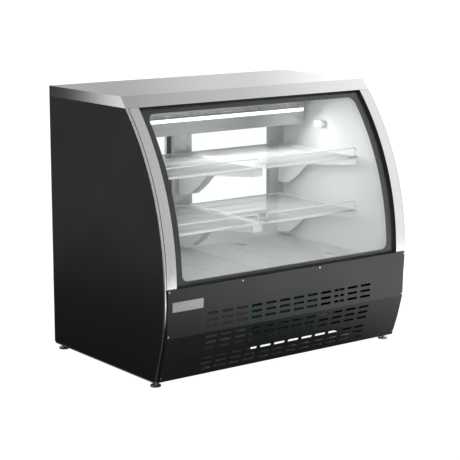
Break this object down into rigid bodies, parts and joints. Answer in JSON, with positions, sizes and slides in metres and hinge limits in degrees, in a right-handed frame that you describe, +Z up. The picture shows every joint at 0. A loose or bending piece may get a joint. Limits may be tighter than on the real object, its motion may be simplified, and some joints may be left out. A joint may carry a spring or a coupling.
{
  "type": "refrigerated display case",
  "caption": "Dark refrigerated deli case with a tall curved glass front, stainless top, white wire shelves, slotted front panel and rear sliding doors.",
  "frame": {"origin": "on the floor under the centre of the case", "axes": "+X to the right seen from the customer's side, -Y towards the customer, +Z up"},
  "size_m": [1.2, 0.8159, 1.08],
  "materials": {
    "dark_paint": "satin",
    "stainless": "brushed",
    "silver": "satin",
    "bright_edge": "satin",
    "white_paint": "satin",
    "white_wire": "gloss",
    "clear_glass": "polished",
    "black_rubber": "matte",
    "foam": "matte",
    "galvanised": "matte",
    "teal_fins": "satin",
    "bare_fins": "satin",
    "copper": "satin",
    "black_paint": "gloss",
    "grey_paint": "satin",
    "zinc": "satin",
    "diffuser": "matte",
    "black_plastic": "matte",
    "grey_plastic": "matte"
  },
  "bodies": {
    "case": {"base_frame": "galvanised", "foot_locknuts": "zinc", "side_panels": "dark_paint", "side_liners": "white_paint", "foam_insulation": "foam", "edge_trims": "bright_edge", "glass_side_trims": "silver", "header_trim": "stainless", "top_cover": "stainless", "ceiling_liner": "white_paint", "glass_outer": "clear_glass", "glass_inner": "clear_glass", "glass_spacer": "silver", "glass_gasket": "black_rubber", "front_sill": "silver", "front_panel": "dark_paint", "front_panel_rails": "dark_paint", "front_panel_screws": "zinc", "tank_liner": "white_paint", "machine_ceiling": "galvanised", "deck_pans": "white_paint", "center_post": "white_paint", "corner_posts": "white_paint", "center_brackets": "white_paint", "side_brackets": "white_paint", "upper_shelves": "white_wire", "lower_shelves": "white_wire", "shelf_guards": "white_wire", "evaporator_cover": "white_paint", "evaporator_coil": "bare_fins", "fan_motors": "black_paint", "led_housing": "silver", "led_diffuser": "diffuser", "upper_door_track": "grey_plastic", "lower_door_track": "grey_plastic", "rear_header": "white_paint", "rear_header_sheet": "white_paint", "rear_panel": "dark_paint", "control_panel": "black_plastic", "power_inlet": "black_plastic", "compressor": "black_paint", "condenser_coil": "teal_fins", "condenser_shroud": "galvanised", "unit_tray": "galvanised", "electrical_box": "grey_paint", "refrigerant_lines": "copper"},
    "left_door": {"left_door_frame": "silver", "left_door_glass": "clear_glass"},
    "right_door": {"right_door_frame": "silver", "right_door_glass": "clear_glass"},
    "left_evaporator_fan": {"evaporator_fan_left": "black_plastic"},
    "right_evaporator_fan": {"evaporator_fan_right": "black_plastic"},
    "condenser_rotor": {"condenser_fan": "black_plastic"},
    "main_rocker": {"main_switch": "black_plastic"},
    "light_rocker": {"light_switch": "black_plastic"},
    "knob": {"thermostat_knob": "black_plastic"},
    "front_left_foot_body": {"front_left_foot": "zinc"},
    "front_right_foot_body": {"front_right_foot": "zinc"},
    "rear_left_foot_body": {"rear_left_foot": "zinc"},
    "rear_right_foot_body": {"rear_right_foot": "zinc"}
  },
  "joints": [
    {"name": "left_door_slide", "type": "slide", "parent": "case", "child": "left_door", "axis": [1, 0, 0], "range_m": [0, 0.485]},
    {"name": "right_door_slide", "type": "slide", "parent": "case", "child": "right_door", "axis": [1, 0, 0], "range_m": [-0.485, 0]},
    {"name": "left_evaporator_fan_spin", "type": "hinge", "parent": "case", "child": "left_evaporator_fan", "pos_m": [-0.25, 0.24205, 0.8832], "axis": [0, 0, 1], "continuous": true},
    {"name": "right_evaporator_fan_spin", "type": "hinge", "parent": "case", "child": "right_evaporator_fan", "pos_m": [0.25, 0.24205, 0.8832], "axis": [0, 0, 1], "continuous": true},
    {"name": "condenser_fan_spin", "type": "hinge", "parent": "case", "child": "condenser_rotor", "pos_m": [0.065, -0.1927, 0.1753], "axis": [0, 1, 0], "continuous": true},
    {"name": "main_switch_rock", "type": "hinge", "parent": "case", "child": "main_rocker", "pos_m": [-0.36, 0.381, 0.9648], "axis": [1, 0, 0], "range_deg": [-20, 0]},
    {"name": "light_switch_rock", "type": "hinge", "parent": "case", "child": "light_rocker", "pos_m": [-0.41, 0.381, 0.9648], "axis": [1, 0, 0], "range_deg": [-20, 0]},
    {"name": "thermostat_turn", "type": "hinge", "parent": "case", "child": "knob", "pos_m": [-0.26, 0.39, 0.9648], "axis": [0, 1, 0], "range_deg": [0, 300]},
    {"name": "front_left_foot_turn", "type": "hinge", "parent": "case", "child": "front_left_foot_body", "pos_m": [-0.578, -0.299, 0.02], "axis": [0, 0, 1], "continuous": true},
    {"name": "front_right_foot_turn", "type": "hinge", "parent": "case", "child": "front_right_foot_body", "pos_m": [0.578, -0.299, 0.02], "axis": [0, 0, 1], "continuous": true},
    {"name": "rear_left_foot_turn", "type": "hinge", "parent": "case", "child": "rear_left_foot_body", "pos_m": [-0.578, 0.37, 0.02], "axis": [0, 0, 1], "continuous": true},
    {"name": "rear_right_foot_turn", "type": "hinge", "parent": "case", "child": "rear_right_foot_body", "pos_m": [0.578, 0.37, 0.02], "axis": [0, 0, 1], "continuous": true}
  ]
}
